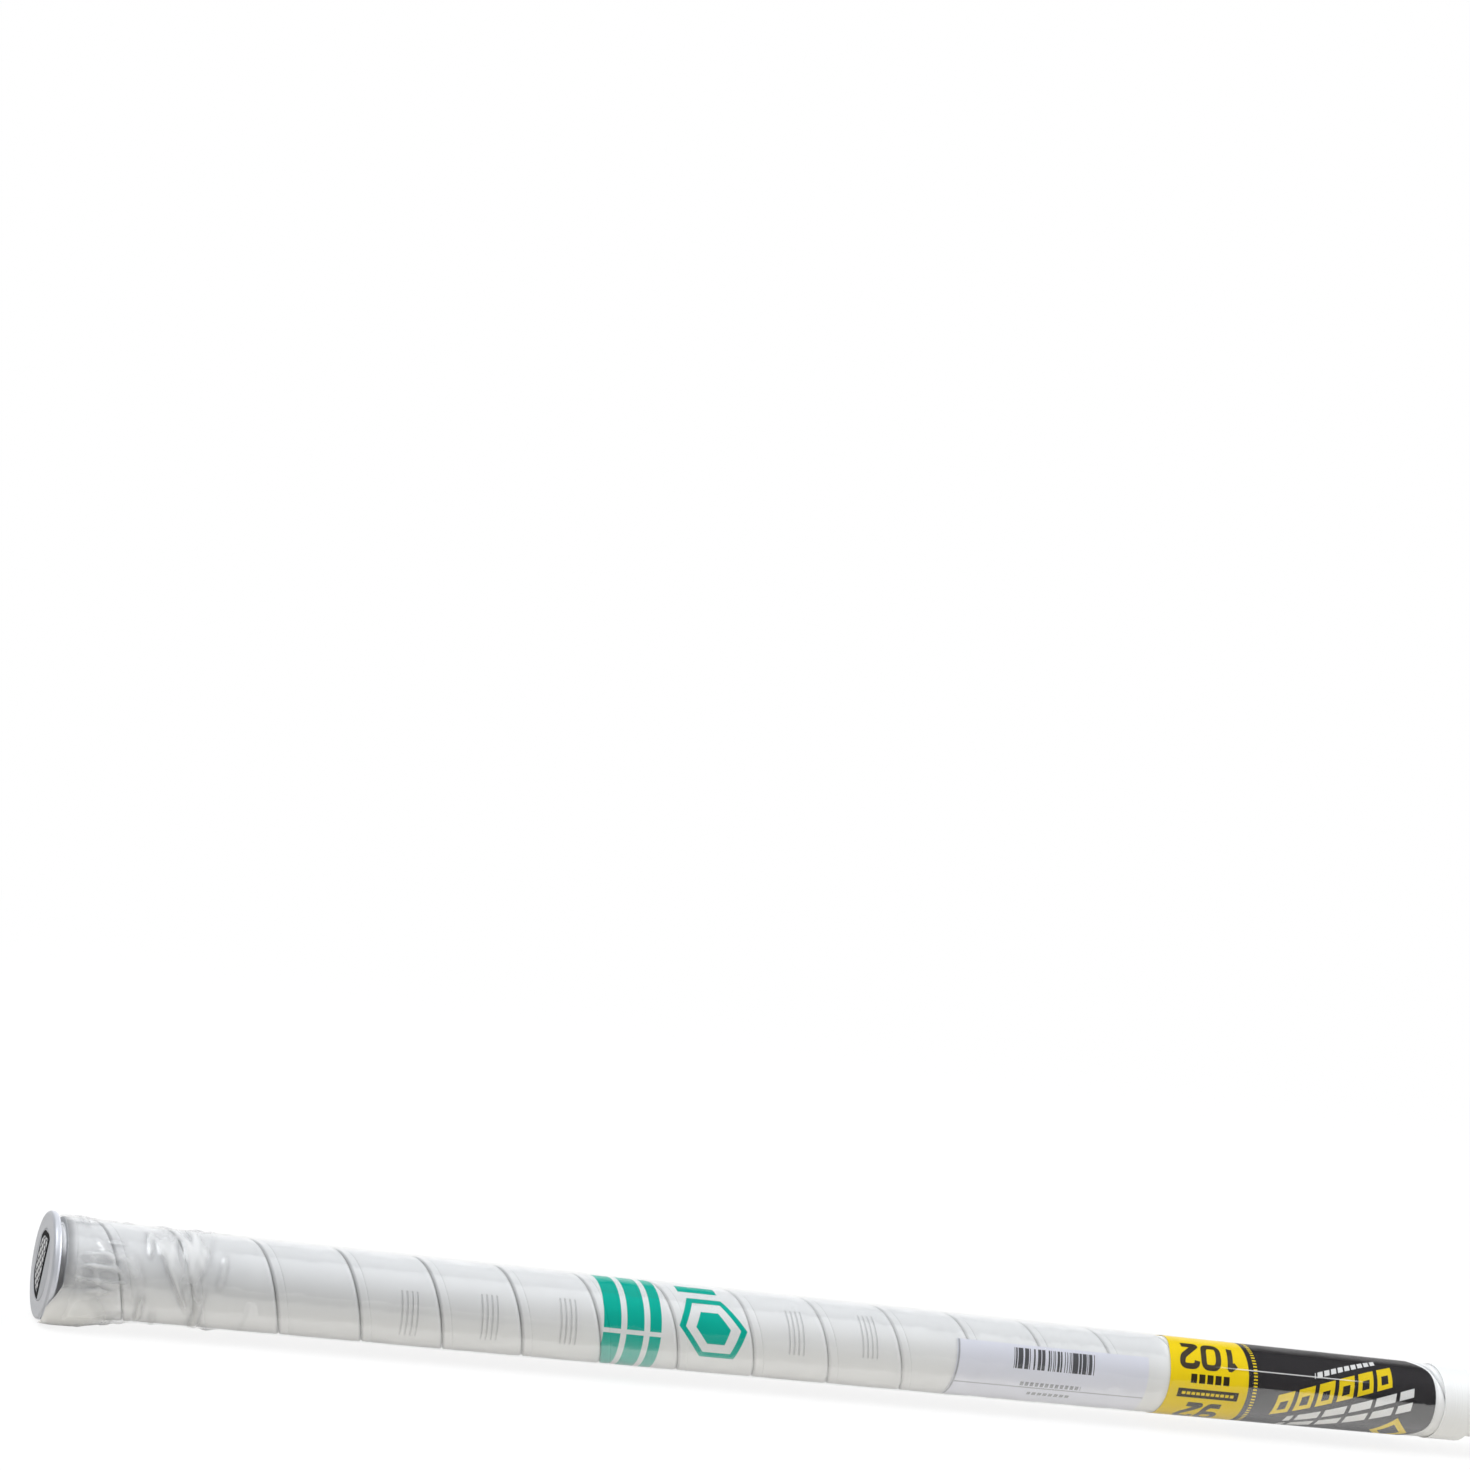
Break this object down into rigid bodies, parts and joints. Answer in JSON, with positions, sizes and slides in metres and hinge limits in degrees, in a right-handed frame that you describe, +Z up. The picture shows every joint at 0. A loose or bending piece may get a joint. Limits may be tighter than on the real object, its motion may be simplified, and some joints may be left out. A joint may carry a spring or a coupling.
{
  "type": "floorball stick",
  "caption": "Floorball stick: tapered composite shaft with a plugged, tape-wound grip in clear film and a hooked, windowed plastic blade screwed to its lower end.",
  "frame": {"origin": "centre of the butt face, on the shaft's axis", "axes": "+X runs down the shaft from the butt to the blade, +Z is up while the stick lies level on a floor on its flange, socket and toe, and the blade points to -Y"},
  "size_m": [1.1125, 0.2111, 0.0333],
  "materials": {
    "shaft": "white lacquered composite",
    "end_cap": "silver grey, satin",
    "cap_badge": "silver grey, hatched",
    "butt_wedge": "foam rubber",
    "grip_tape": "white embossed grip tape with green prints",
    "size_label": "glossy print, yellow and black",
    "code_label": "white sticker",
    "shrink_film": "clear film",
    "finish_tape": "white tape",
    "blade": "moulded, satin",
    "blade_screw": "zinc plated"
  },
  "bodies": {
    "root": {"shaft": "shaft", "end_cap": "end_cap", "cap_badge": "cap_badge", "butt_wedge": "butt_wedge", "grip_tape": "grip_tape", "size_label": "size_label", "code_label": "code_label", "shrink_film": "shrink_film", "finish_tape": "finish_tape", "blade": "blade", "blade_screw": "blade_screw"}
  },
  "joints": []
}
